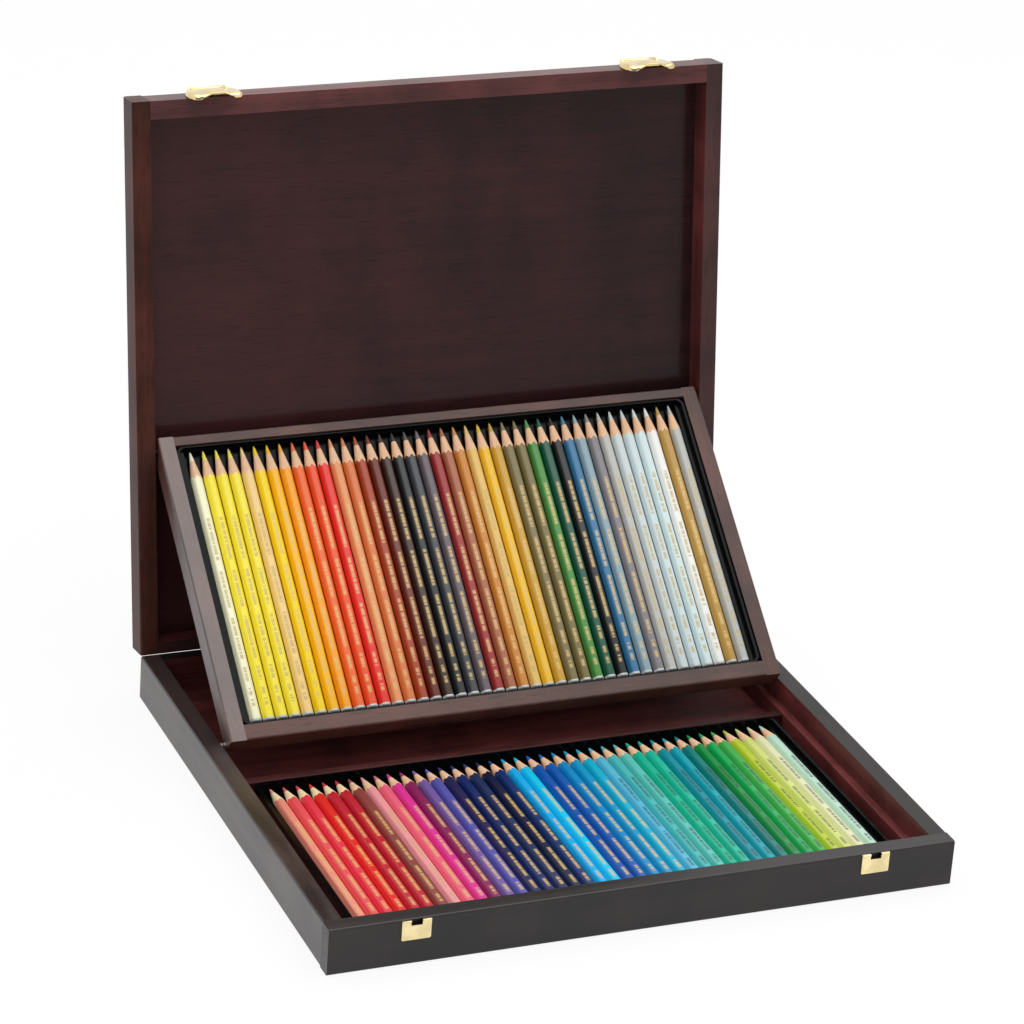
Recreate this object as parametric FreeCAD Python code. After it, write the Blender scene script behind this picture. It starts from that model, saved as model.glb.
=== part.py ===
"""Two-level hinged pencil case: a shallow base, a lid hinged at the rear, and a
pencil tray that the lid lifts by two pivot pins while its foot glides back on
ledges in the base.

Frame, mm: origin at the centre of the base's underside, +X to the right,
+Y to the rear (hinge side), +Z up.  The case is modelled open.  Lid parts are
drawn shut and then swung open about the hinge; tray parts are drawn flat about
the pivot pins and then tilted and carried to where the open lid holds them.
"""
import math
import os

import FreeCAD
import Part

V = FreeCAD.Vector

# ---- case ------------------------------------------------------------------
CASE_W = 375.0
CASE_D = 336.0
BASE_H = 28.0
LID_T = 19.0
SEAM = 0.4                    # gap between the rims when shut
LID_OPEN = 98.4               # degrees from shut
SIDE_T = 11.0                 # base walls
FRONT_T = 10.5
REAR_T = 8.0
FLOOR_T = 5.0
RABBET = 5.0                  # how far a panel reaches into its frame
EDGE_R = 1.2
CORNER_R = 1.6

# ---- lid frame ---------------------------------------------------------------
LID_SIDE_W = 11.0
LID_FRONT_W = 11.0
LID_REAR_W = 7.0
LID_REAR_RABBET = 4.0         # shallower, clear of the rounded outer edge
LID_PANEL_T = 3.5
LID_EDGE_R = 2.5

# ---- base fittings -------------------------------------------------------------
LEDGE_W = 4.7
LEDGE_TOP = 14.5
DIVIDER_T = 6.0
DIVIDER_TOP = 14.0

# ---- pencils and their inserts -----------------------------------------------
GROUPS = 5                    # colour groups, one node each
PENCIL_L = 176.5
PENCIL_AF = 6.75              # across flats
PENCIL_PITCH = 7.96
TIP_L = 20.0                  # sharpened length, tip to full hexagon
TIP_R = 0.4
LAY_GAP = 0.2                 # pencil end to insert, and least at the row's sides
INSERT_FIT = 0.2              # insert to the wood round it
INSERT_H = 8.6
INSERT_SKIN = 1.2
SHOULDER_H = 5.5
INSERT_R = 6.0
SIDE_RIM, SIDE_STEP = 2.0, 3.3
TAIL_RIM, TAIL_STEP = 1.2, 1.0
TIP_RIM, TIP_STEP = 1.2, 1.2

# ---- tray --------------------------------------------------------------------
TRAY_SIDE_GAP = 2.0           # tray to the base's side walls
TRAY_FRONT_GAP = 8.0          # tray to the front wall, when shut
TRAY_T = 15.0
TRAY_SIDE_W = 9.6
TRAY_REAR_W = 6.0
TRAY_FRONT_W = 9.6
TRAY_PANEL_T = 5.0
TRAY_RABBET = 4.0
PIN_R = 1.5                   # pivot pins
PIN_FROM_END = 5.0            # pin axis to the tray's rear end
PIN_BELOW_FACE = 7.0
PIN_ABOVE_RIM = 4.2           # pin axis into the lid
PIN_IN_TRAY = 6.0
PIN_IN_LID = 5.0
PIN_CLEAR = 0.05              # radial, pin in the lid rail
PIN_END_GAP = 0.5
STOP_R = 2.3                  # stop pins in the base walls
STOP_OUT = 6.0
STOP_IN = 7.0
STOP_GAP = 0.35               # stop pin to the open tray's underside
STOP_FROM_FOOT = 5.1
STOP_BELOW_RIM = 3.3

# ---- hinges --------------------------------------------------------------------
HINGE_IN = 72.5               # from the case's side to the hinge's middle
HINGE_L = 36.0
LEAF_T = 1.2
LEAF_W = 6.5
LEAF_STOP = 2.6               # slab edge to hinge axis
KNUCKLE_R = 1.8
KNUCKLE_MID = 12.0
KNUCKLE_GAP = 0.3
KNUCKLE_ROOM = 0.3             # wood to knuckle, all round
HINGE_PIN_R = 0.8
HINGE_PIN_CLEAR = 0.06

# ---- catches and keepers; heights are above the lid's rim, depths off its face ----
CATCH_IN = 50.0
PLATE_W = 25.0
PLATE_T = 0.8
PLATE_LOW, PLATE_HIGH = 8.0, 17.0
AXLE_UP = 14.0
AXLE_OUT = 2.4
AXLE_R = 0.75
AXLE_CLEAR = 0.06
ROLL_R = 1.4
ROLL_HALF = 10.5
EAR_GAP = 0.3
EAR_T = 1.2
LEVER_T = 0.8
LEVER_HALF = 16.4
LEVER_DROP = 7.9              # free edge below the rim
LOBE_GAP = 0.3                # lobes to the base's face, when shut
LOBE_IN = 10.2                # inner edge of a lobe, from the middle
CROWN_HALF = 6.5
CROWN_OUT = 3.5
BELLY_UP = 5.0                # where the thumb arch is fullest
BELLY_OUT = 4.6
BELLY_HALF = 15.0
SHEET_OUT = 1.8               # inner face of the lever beside its roll
RIDGE_HALF = 6.0
RIDGE_T = 1.0
SNAP_GAP = 0.35               # ridge to the keeper, all round
KEEPER_W = 17.0
KEEPER_H = 12.0
KEEPER_T = 1.0
KEEPER_TOP_GAP = 0.4
KEEPER_R = 1.0
NOTCH_W = 6.6
NOTCH_H = 3.2
NOTCH_DEEP = 2.0              # dimple in the wood behind the notch
LIP_OUT = 0.5
LIP_H = 1.0
LIP_END = 0.6                 # lip stops short of the plate's side

# ---- derived -------------------------------------------------------------------
HW = CASE_W / 2
HD = CASE_D / 2
INNER_X = HW - SIDE_T
INNER_FRONT = -HD + FRONT_T
INNER_REAR = HD - REAR_T
RIM_Z = BASE_H + SEAM
LID_TOP = RIM_Z + LID_T
LID_IN_X = HW - LID_SIDE_W
HINGE_Y = HD                  # the lid turns on the seam at the rear face
HINGE_Z = BASE_H + SEAM / 2
PENCIL_R = PENCIL_AF / math.sqrt(3)
HINGE_X = HW - HINGE_IN
CATCH_X = HW - CATCH_IN
TRAY_HALF_X = INNER_X - TRAY_SIDE_GAP
TRAY_IN_X = TRAY_HALF_X - TRAY_SIDE_W
INSERT_HALF_X = TRAY_IN_X - INSERT_FIT
BED_HALF_X = INSERT_HALF_X - SIDE_RIM - SIDE_STEP
ROW = 1 + int(2 * (BED_HALF_X - PENCIL_R - LAY_GAP) / PENCIL_PITCH)   # pencils side by side
INSERT_L = TAIL_RIM + TAIL_STEP + PENCIL_L + 2 * LAY_GAP + TIP_STEP + TIP_RIM
TRAY_L = TRAY_FRONT_W + INSERT_L + 2 * INSERT_FIT + TRAY_REAR_W
U_REAR = PIN_FROM_END
U_FRONT = U_REAR - TRAY_L
V_FACE = PIN_BELOW_FACE
V_UNDER = V_FACE - TRAY_T
PIN_Y = INNER_FRONT + TRAY_FRONT_GAP - U_FRONT
PIN_Z = RIM_Z + PIN_ABOVE_RIM
FACE_Y = -HD

nodes = {}


# ---- helpers -------------------------------------------------------------------
def box(x, y, z):
    """Box from three (low, high) pairs."""
    return Part.makeBox(x[1] - x[0], y[1] - y[0], z[1] - z[0], V(x[0], y[0], z[0]))


def rod(x, y, z, r):
    """Cylinder along X; x is a (low, high) pair."""
    return Part.makeCylinder(r, x[1] - x[0], V(x[0], y, z), V(1, 0, 0))


def round_edges(shape, radius, wanted):
    """Fillet the straight edges whose centre satisfies wanted(point, direction)."""
    picked = []
    for edge in shape.Edges:
        if isinstance(edge.Curve, Part.Line):
            ends = [v.Point for v in edge.Vertexes]
            if wanted((ends[0] + ends[1]) * 0.5, (ends[1] - ends[0]).normalize()):
                picked.append(edge)
    return shape.makeFillet(radius, picked) if picked else shape


def rounded_box(x, y, z, radius):
    """Box with its four upright edges rounded."""
    return round_edges(box(x, y, z), radius, lambda p, d: abs(d.z) > 0.99)


def mirror(shape):
    return shape.mirror(V(0, 0, 0), V(1, 0, 0))


def near(a, b):
    return abs(a - b) < 0.01


def both_sides(name, shape):
    """Add a right-hand shape and its left-hand mirror image."""
    nodes[name + "_right"] = shape
    nodes[name + "_left"] = mirror(shape)


def hex_prism(y0, y1):
    """Hexagon lying on a flat, axis on the Y axis."""
    corners = [math.radians(60 * k) for k in range(7)]
    wire = Part.makePolygon([V(PENCIL_R * math.cos(a), y0, PENCIL_R * math.sin(a)) for a in corners])
    return Part.Face(wire).extrude(V(0, y1 - y0, 0))


def frustum(y0, r0, y1, r1, sides=10):
    """Many-sided frustum with flat faces, axis on the Y axis."""
    turns = [2 * math.pi * (k + 0.5) / sides for k in range(sides + 1)]
    rings = [[V(r * math.cos(t), y, r * math.sin(t)) for t in turns] for y, r in ((y0, r0), (y1, r1))]
    faces = [Part.Face(Part.makePolygon(ring)) for ring in rings]
    for k in range(sides):
        corners = [rings[0][k], rings[0][k + 1], rings[1][k + 1], rings[1][k], rings[0][k]]
        faces.append(Part.Face(Part.makePolygon(corners)))
    return Part.makeSolid(Part.makeShell(faces))


def pencil():
    """One sharpened pencil, tail at y = 0, point towards +Y, axis on the Y axis."""
    cut_y = PENCIL_L - TIP_L
    widest = PENCIL_R / math.cos(math.radians(18)) + 0.2
    sharpened = hex_prism(cut_y, PENCIL_L).common(frustum(cut_y, widest, PENCIL_L, TIP_R))
    return hex_prism(0, cut_y).fuse(sharpened).removeSplitter()


def pencil_groups(level, y_tail, z_axis, place):
    """Lay out a level's pencils side by side, split into colour groups."""
    one = pencil()
    first_x = -(ROW - 1) * PENCIL_PITCH / 2
    for group in range(GROUPS):
        laid = []
        for k in range(ROW * group // GROUPS, ROW * (group + 1) // GROUPS):
            copy = one.copy()
            copy.translate(V(first_x + k * PENCIL_PITCH, y_tail, z_axis))
            laid.append(place(copy))
        nodes["%s_pencils_%d" % (level, group + 1)] = Part.makeCompound(laid)


def insert(y_tail, z0):
    """Moulded pencil insert: rim, shoulder and flat bed; y_tail is its tail end."""
    y_end = y_tail + INSERT_L
    tub = rounded_box((-INSERT_HALF_X, INSERT_HALF_X), (y_tail, y_end), (z0, z0 + INSERT_H), INSERT_R)
    step_x = INSERT_HALF_X - SIDE_RIM
    step = rounded_box((-step_x, step_x), (y_tail + TAIL_RIM, y_end - TIP_RIM),
                       (z0 + SHOULDER_H, z0 + INSERT_H + 1), INSERT_R - SIDE_RIM)
    bed_tail = y_tail + TAIL_RIM + TAIL_STEP
    bed_tip = y_end - TIP_RIM - TIP_STEP
    bed = box((-BED_HALF_X, BED_HALF_X), (bed_tail, bed_tip), (z0 + INSERT_SKIN, z0 + INSERT_H + 1))
    return tub.cut(step).cut(bed)


def pencil_axis(z0):
    """Height of the pencils' axes in an insert standing at z0."""
    return z0 + INSERT_SKIN + PENCIL_AF / 2


def swing(shape):
    """Carry a shape drawn with the lid shut to where the open lid holds it."""
    turned = shape.copy()
    turned.rotate(V(0, HINGE_Y, HINGE_Z), V(1, 0, 0), -LID_OPEN)
    return turned


def pin_when_open():
    """(y, z) of the tray's pivot axis with the lid open."""
    c, s = math.cos(math.radians(LID_OPEN)), math.sin(math.radians(LID_OPEN))
    dy, dz = PIN_Y - HINGE_Y, PIN_Z - HINGE_Z
    return HINGE_Y + dy * c + dz * s, HINGE_Z - dy * s + dz * c


def open_tilt():
    """Tilt that brings the open tray's underside down onto the stop pins, in radians."""
    drop = pin_when_open()[1] - (BASE_H - STOP_BELOW_RIM)
    along, below = -(U_FRONT + STOP_FROM_FOOT), STOP_GAP + STOP_R - V_UNDER
    return math.asin(drop / math.hypot(along, below)) - math.atan2(below, along)


def stop_pin_centre():
    """(y, z) of a stop pin just under the open tray's underside, near its foot."""
    t = open_tilt()
    along, below = U_FRONT + STOP_FROM_FOOT, V_UNDER - STOP_GAP - STOP_R
    y, z = pin_when_open()
    return y + along * math.cos(t) - below * math.sin(t), z + along * math.sin(t) + below * math.cos(t)


def lift(shape):
    """Carry a shape drawn about the pivot axis to the open tray's place."""
    y, z = pin_when_open()
    moved = shape.copy()
    moved.rotate(V(0, 0, 0), V(1, 0, 0), math.degrees(open_tilt()))
    moved.translate(V(0, y, z))
    return moved


# ---- hinges ----------------------------------------------------------------------
def leaf(x0, lid):
    """One hinge leaf, drawn shut: slab, tabs and rolled knuckles."""
    low, high = (RIM_Z, RIM_Z + LEAF_T) if lid else (BASE_H - LEAF_T, BASE_H)
    half, mid = HINGE_L / 2, KNUCKLE_MID / 2
    spans = [(-mid, mid)] if lid else [(-half, -mid - KNUCKLE_GAP), (mid + KNUCKLE_GAP, half)]
    shape = box((x0 - half, x0 + half), (HD - LEAF_W, HINGE_Y - LEAF_STOP), (low, high))
    for a, b in spans:
        tab = box((x0 + a, x0 + b), (HINGE_Y - LEAF_STOP, HINGE_Y), (low, high))
        shape = shape.fuse(tab).fuse(rod((x0 + a, x0 + b), HINGE_Y, HINGE_Z, KNUCKLE_R))
    bore = HINGE_PIN_R + (HINGE_PIN_CLEAR if lid else 0)
    shape = shape.cut(rod((x0 - half - 1, x0 + half + 1), HINGE_Y, HINGE_Z, bore))
    return shape.removeSplitter()


def mortises(lid):
    """Shallow pockets for the leaves of one side."""
    low, high = (RIM_Z - 1, RIM_Z + LEAF_T) if lid else (BASE_H - LEAF_T, BASE_H + 1)
    return [box((s * HINGE_X - HINGE_L / 2, s * HINGE_X + HINGE_L / 2),
                (HD - LEAF_W, HD + 1), (low, high)) for s in (-1, 1)]


def knuckle_rooms():
    """Round hollows in both rear edges, in which the knuckles sit."""
    reach = HINGE_L / 2 + KNUCKLE_ROOM
    return [rod((s * HINGE_X - reach, s * HINGE_X + reach), HINGE_Y, HINGE_Z, KNUCKLE_R + KNUCKLE_ROOM)
            for s in (-1, 1)]


# ---- base --------------------------------------------------------------------------
def make_base():
    sole = (0, FLOOR_T)
    height = (0, BASE_H)
    floor_x = (-INNER_X - RABBET, INNER_X + RABBET)
    floor_y = (INNER_FRONT - RABBET, INNER_REAR + RABBET)
    floor = box(floor_x, floor_y, sole)

    front = box((-HW, HW), (-HD, INNER_FRONT), height).cut(floor)
    front = round_edges(front, EDGE_R, lambda p, d: near(p.y, -HD) and abs(d.x) > 0.99)
    for side in (-1, 1):
        x = side * CATCH_X
        notch_z = BASE_H - KEEPER_TOP_GAP - NOTCH_H
        front = front.cut(box((x - NOTCH_W / 2, x + NOTCH_W / 2), (-HD - 1, -HD + NOTCH_DEEP),
                              (notch_z, notch_z + NOTCH_H)))
    nodes["base_front_wall"] = front

    y_stop, z_stop = stop_pin_centre()
    side_wall = box((INNER_X, HW), (INNER_FRONT, HD), height).cut(floor)
    side_wall = round_edges(side_wall, EDGE_R, lambda p, d: near(p.x, HW) and abs(d.y) > 0.99)
    stop = rod((INNER_X - STOP_OUT, INNER_X + STOP_IN), y_stop, z_stop, STOP_R)
    both_sides("base_side_wall", side_wall.cut(stop))
    both_sides("stop_pin", stop)

    rear = box((-INNER_X, INNER_X), (INNER_REAR, HD), height).cut(floor)
    for tool in mortises(False) + knuckle_rooms():
        rear = rear.cut(tool)
    nodes["base_rear_wall"] = rear
    nodes["base_floor"] = floor

    ledge = box((INNER_X - LEDGE_W, INNER_X), (INNER_FRONT, INNER_REAR), (FLOOR_T, LEDGE_TOP))
    ledge = round_edges(ledge, 0.8, lambda p, d: near(p.z, LEDGE_TOP) and near(p.x, INNER_X - LEDGE_W))
    both_sides("base_ledge", ledge)

    y_insert = INNER_FRONT + INSERT_FIT
    nodes["lower_insert"] = insert(y_insert, FLOOR_T)
    y_tail = y_insert + TAIL_RIM + TAIL_STEP + LAY_GAP
    pencil_groups("lower", y_tail, pencil_axis(FLOOR_T), lambda s: s)
    y_div = y_insert + INSERT_L + INSERT_FIT
    divider = box((-INNER_X + LEDGE_W, INNER_X - LEDGE_W), (y_div, y_div + DIVIDER_T),
                  (FLOOR_T, DIVIDER_TOP))
    nodes["base_divider"] = round_edges(divider, 0.8, lambda p, d: near(p.z, DIVIDER_TOP) and abs(d.x) > 0.99)

    for side, word in ((-1, "left"), (1, "right")):
        nodes["keeper_" + word] = keeper(side * CATCH_X)


def keeper(x0):
    """Keeper plate: a notch in its top edge with a rolled lip on each side."""
    top = BASE_H - KEEPER_TOP_GAP
    half, notch = KEEPER_W / 2, NOTCH_W / 2
    face = -HD - KEEPER_T
    shape = box((x0 - half, x0 + half), (face, -HD), (top - KEEPER_H, top))
    shape = round_edges(shape, KEEPER_R, lambda p, d: abs(d.y) > 0.99 and p.z < top - 1)
    for side in (-1, 1):
        inner, outer = sorted((x0 + side * notch, x0 + side * (half - LIP_END)))
        lip = box((inner, outer), (face - LIP_OUT, face), (top - LIP_H, top))
        lip = round_edges(lip, 0.35, lambda p, d: near(p.y, face - LIP_OUT) and abs(d.x) > 0.99)
        shape = shape.fuse(lip)
    shape = shape.cut(box((x0 - notch, x0 + notch), (face - 2, -HD), (top - NOTCH_H, top + 1)))
    return shape.removeSplitter()


# ---- lid -----------------------------------------------------------------------------
def make_lid():
    depth = (RIM_Z, LID_TOP)
    panel = box((-LID_IN_X - RABBET, LID_IN_X + RABBET),
                (-HD + LID_FRONT_W - RABBET, HD - LID_REAR_W + LID_REAR_RABBET),
                (LID_TOP - LID_PANEL_T, LID_TOP))

    side = box((LID_IN_X, HW), (-HD, HD), depth).cut(panel)
    side = round_edges(side, LID_EDGE_R, lambda p, d: near(p.z, LID_TOP) and near(p.x, HW))
    side = side.cut(rod((LID_IN_X - 1, LID_IN_X + PIN_IN_LID + PIN_END_GAP), PIN_Y, PIN_Z,
                        PIN_R + PIN_CLEAR))
    side = round_edges(side, EDGE_R, lambda p, d: near(p.x, HW) and near(p.z, RIM_Z) and abs(d.y) > 0.99)
    both_sides("lid_side_rail", swing(side))

    front = box((-LID_IN_X, LID_IN_X), (-HD, -HD + LID_FRONT_W), depth).cut(panel)
    front = round_edges(front, LID_EDGE_R, lambda p, d: near(p.z, LID_TOP) and near(p.y, -HD))
    rear = box((-LID_IN_X, LID_IN_X), (HD - LID_REAR_W, HD), depth).cut(panel)
    rear = round_edges(rear, LID_EDGE_R, lambda p, d: near(p.z, LID_TOP) and near(p.y, HD))
    for tool in mortises(True) + knuckle_rooms():
        rear = rear.cut(tool)
    nodes["lid_front_rail"] = swing(front)
    nodes["lid_rear_rail"] = swing(rear)
    nodes["lid_panel"] = swing(panel)

    for side, word in ((-1, "left"), (1, "right")):
        x = side * CATCH_X
        nodes["catch_plate_" + word] = swing(catch_plate(x))
        reach = ROLL_HALF + EAR_GAP + EAR_T
        nodes["catch_axle_" + word] = swing(rod((x - reach, x + reach), axle_y(), axle_z(), AXLE_R))
        nodes["catch_lever_" + word] = swing(catch_lever(x))


def axle_y():
    return FACE_Y - AXLE_OUT


def axle_z():
    return RIM_Z + AXLE_UP


def catch_plate(x0):
    """Plate on the lid's front face with two ears for the lever's axle."""
    half = PLATE_W / 2
    z = (RIM_Z + PLATE_LOW, RIM_Z + PLATE_HIGH)
    shape = box((x0 - half, x0 + half), (FACE_Y - PLATE_T, FACE_Y), z)
    shape = round_edges(shape, 1.5, lambda p, d: abs(d.y) > 0.99)
    for side in (-1, 1):
        ear_in = ROLL_HALF + EAR_GAP
        a, b = sorted((x0 + side * ear_in, x0 + side * (ear_in + EAR_T)))
        shape = shape.fuse(rod((a, b), axle_y(), axle_z(), ROLL_R))
        shape = shape.fuse(box((a, b), (axle_y(), FACE_Y - PLATE_T), (axle_z() - ROLL_R, axle_z() + ROLL_R)))
    shape = shape.cut(rod((x0 - half, x0 + half), axle_y(), axle_z(), AXLE_R))
    return shape.removeSplitter()


def lever_outline(x0, up, half, lobe_out, crown_out, crown_half, lobe_in):
    """Points round the pressed lever sheet at one height: two lobes and an arch."""
    shoulder = 0.8 * crown_out + 0.2 * lobe_out
    inside = [(-half, lobe_out), (-lobe_in, lobe_out), (-crown_half, shoulder),
              (-crown_half / 2, crown_out), (crown_half / 2, crown_out),
              (crown_half, shoulder), (lobe_in, lobe_out), (half, lobe_out)]
    outside = [(x, out + LEVER_T) for x, out in reversed(inside)]
    return [V(x0 + x, FACE_Y - out, RIM_Z + up) for x, out in inside + outside]


def skin(outlines):
    """Solid through outlines of equal length, sheathed in flat triangles."""
    faces = [Part.Face(Part.makePolygon(o + o[:1])) for o in (outlines[0], outlines[-1])]
    for a, b in zip(outlines, outlines[1:]):
        for k in range(len(a)):
            n = (k + 1) % len(a)
            for corners in ((a[k], a[n], b[n], a[k]), (a[k], b[n], b[k], a[k])):
                faces.append(Part.Face(Part.makePolygon(corners)))
    return Part.makeSolid(Part.makeShell(faces))


def catch_lever(x0):
    """Pressed lever: two lobes, a thumb arch over the keeper, a snap ridge and a rolled top."""
    high = AXLE_UP - ROLL_R
    sheet = skin([
        lever_outline(x0, -LEVER_DROP, LEVER_HALF, LOBE_GAP, CROWN_OUT, CROWN_HALF, LOBE_IN),
        lever_outline(x0, BELLY_UP, BELLY_HALF, (LOBE_GAP + SHEET_OUT) / 2, BELLY_OUT,
                      0.8 * CROWN_HALF, 0.9 * LOBE_IN),
        lever_outline(x0, high, ROLL_HALF, SHEET_OUT, SHEET_OUT + 0.1, 0.4 * CROWN_HALF, 0.6 * LOBE_IN)])
    strap = box((x0 - ROLL_HALF, x0 + ROLL_HALF),
                (FACE_Y - SHEET_OUT - LEVER_T, FACE_Y - SHEET_OUT), (RIM_Z + high - 0.05, axle_z()))
    shape = sheet.fuse(strap).fuse(rod((x0 - ROLL_HALF, x0 + ROLL_HALF), axle_y(), axle_z(), ROLL_R))

    ridge_top = BASE_H - KEEPER_TOP_GAP - LIP_H - SNAP_GAP
    ridge = box((x0 - RIDGE_HALF, x0 + RIDGE_HALF),
                (FACE_Y - CROWN_OUT - LEVER_T / 2, FACE_Y - KEEPER_T - SNAP_GAP),
                (ridge_top - RIDGE_T, ridge_top))
    shape = shape.fuse(ridge)
    shape = shape.cut(rod((x0 - LEVER_HALF, x0 + LEVER_HALF), axle_y(), axle_z(), AXLE_R + AXLE_CLEAR))
    return shape.removeSplitter()


def make_hinges():
    for side, word in ((-1, "left"), (1, "right")):
        x = side * HINGE_X
        nodes["hinge_base_leaf_" + word] = leaf(x, False)
        nodes["hinge_lid_leaf_" + word] = swing(leaf(x, True))
        nodes["hinge_pin_" + word] = rod((x - HINGE_L / 2, x + HINGE_L / 2), HINGE_Y, HINGE_Z, HINGE_PIN_R)


# ---- tray ------------------------------------------------------------------------------
def make_tray():
    half, in_x = TRAY_HALF_X, TRAY_IN_X
    u = (U_FRONT, U_REAR)
    v = (V_UNDER, V_FACE)
    in_front = U_FRONT + TRAY_FRONT_W
    in_rear = U_REAR - TRAY_REAR_W
    panel = box((-in_x - TRAY_RABBET, in_x + TRAY_RABBET), (in_front - TRAY_RABBET, in_rear + TRAY_RABBET),
                (V_UNDER, V_UNDER + TRAY_PANEL_T))
    side = box((in_x, half), u, v).cut(panel)
    side = round_edges(side, EDGE_R, lambda p, d: near(p.x, half) and abs(d.y) > 0.99)
    pin = rod((half - PIN_IN_TRAY, LID_IN_X + PIN_IN_LID), 0, 0, PIN_R)
    both_sides("tray_side_rail", lift(side.cut(pin)))
    both_sides("tray_pivot_pin", lift(pin))
    rear = box((-in_x, in_x), (in_rear, U_REAR), v).cut(panel)
    rear = round_edges(rear, 0.8, lambda p, d: near(p.y, U_REAR) and abs(d.x) > 0.99)
    front = box((-in_x, in_x), (U_FRONT, in_front), v).cut(panel)
    front = round_edges(front, EDGE_R, lambda p, d: near(p.y, U_FRONT) and abs(d.x) > 0.99)
    nodes["tray_rear_rail"] = lift(rear)
    nodes["tray_front_rail"] = lift(front)
    nodes["tray_bottom"] = lift(panel)
    z_bed = V_UNDER + TRAY_PANEL_T
    y_insert = in_front + INSERT_FIT
    nodes["upper_insert"] = lift(insert(y_insert, z_bed))
    y_tail = y_insert + TAIL_RIM + TAIL_STEP + LAY_GAP
    pencil_groups("upper", y_tail, pencil_axis(z_bed), lift)


make_base()
make_hinges()
make_lid()
make_tray()

os.makedirs("parts", exist_ok=True)
for name, shape in nodes.items():
    shape.exportStep("parts/%s.step" % name)
print(len(nodes), "nodes")
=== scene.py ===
"""Looks of the two-level pencil case: dark mahogany frames, moulded black inserts,
eighty lacquered pencils and pressed brass catches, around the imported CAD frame."""

import math
from collections import namedtuple

import bmesh
import bpy
from mathutils import Matrix, Vector


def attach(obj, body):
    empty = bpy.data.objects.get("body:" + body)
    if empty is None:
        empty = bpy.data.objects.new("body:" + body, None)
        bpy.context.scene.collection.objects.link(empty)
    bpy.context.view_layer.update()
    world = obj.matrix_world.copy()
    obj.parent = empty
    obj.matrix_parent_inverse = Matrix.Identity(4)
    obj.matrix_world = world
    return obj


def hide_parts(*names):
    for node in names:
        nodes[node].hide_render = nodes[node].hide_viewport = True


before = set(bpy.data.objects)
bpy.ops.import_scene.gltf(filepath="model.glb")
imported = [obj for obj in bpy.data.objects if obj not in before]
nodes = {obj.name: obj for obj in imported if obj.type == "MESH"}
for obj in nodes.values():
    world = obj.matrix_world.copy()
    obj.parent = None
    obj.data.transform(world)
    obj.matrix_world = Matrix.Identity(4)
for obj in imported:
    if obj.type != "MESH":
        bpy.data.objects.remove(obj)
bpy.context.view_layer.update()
scene = bpy.context.scene

MM = 0.001
SIDES = ("left", "right")
BLACK = (0.0, 0.0, 0.0, 1.0)
WHITE = (1.0, 1.0, 1.0, 1.0)

# ---- places repeated from the part, mm ---------------------------------------------
LID_OPEN = math.radians(98.4)
TRAY_TILT = math.radians(39.126)
FACE_Y = -168.0                    # front face of the base
RIM_Z = 28.4                       # lower rim of the shut lid
HINGE = (168.0, 28.2)              # y, z of the lid's axis
PIVOT = (190.613, 151.216)         # y, z of the open tray's axis
CATCH_X = 137.5                    # middle of a catch, from the case's middle
PENCILS = 40                       # in each row
GROUPS = 5                         # colour groups in each row
PITCH = 7.96                       # from one pencil to the next
FLATS = 6.75                       # across a pencil's flats
PENCIL_L = 176.5
TIP_L = 20.0                       # from the tip to the cone's end at a sharp corner
LOWER_TAIL, LOWER_AXIS = -154.9, 9.575     # y of the tails and z of the axes, base frame
UPPER_TAIL, UPPER_AXIS = -180.3, 1.575     # the same from the tray's axis, before its tilt


# ---- helpers -----------------------------------------------------------------------
def srgb(r, g, b):
    """Colour written as it shows, 0 to 1, turned to the linear values nodes take."""
    def one(c):
        return c / 12.92 if c <= 0.04045 else ((c + 0.055) / 1.055) ** 2.4
    return one(r), one(g), one(b), 1.0


def add_object(name, data):
    """Put new data into the scene as an object."""
    thing = bpy.data.objects.new(name, data)
    scene.collection.objects.link(thing)
    return thing


def bevel(thing, name, width, segments=2, angle=40):
    """Soften the edges sharper than angle, in degrees. width is in mm."""
    modifier = thing.modifiers.new(name, "BEVEL")
    modifier.width = width * MM
    modifier.segments = segments
    modifier.limit_method = "ANGLE"
    modifier.angle_limit = math.radians(angle)


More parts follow.
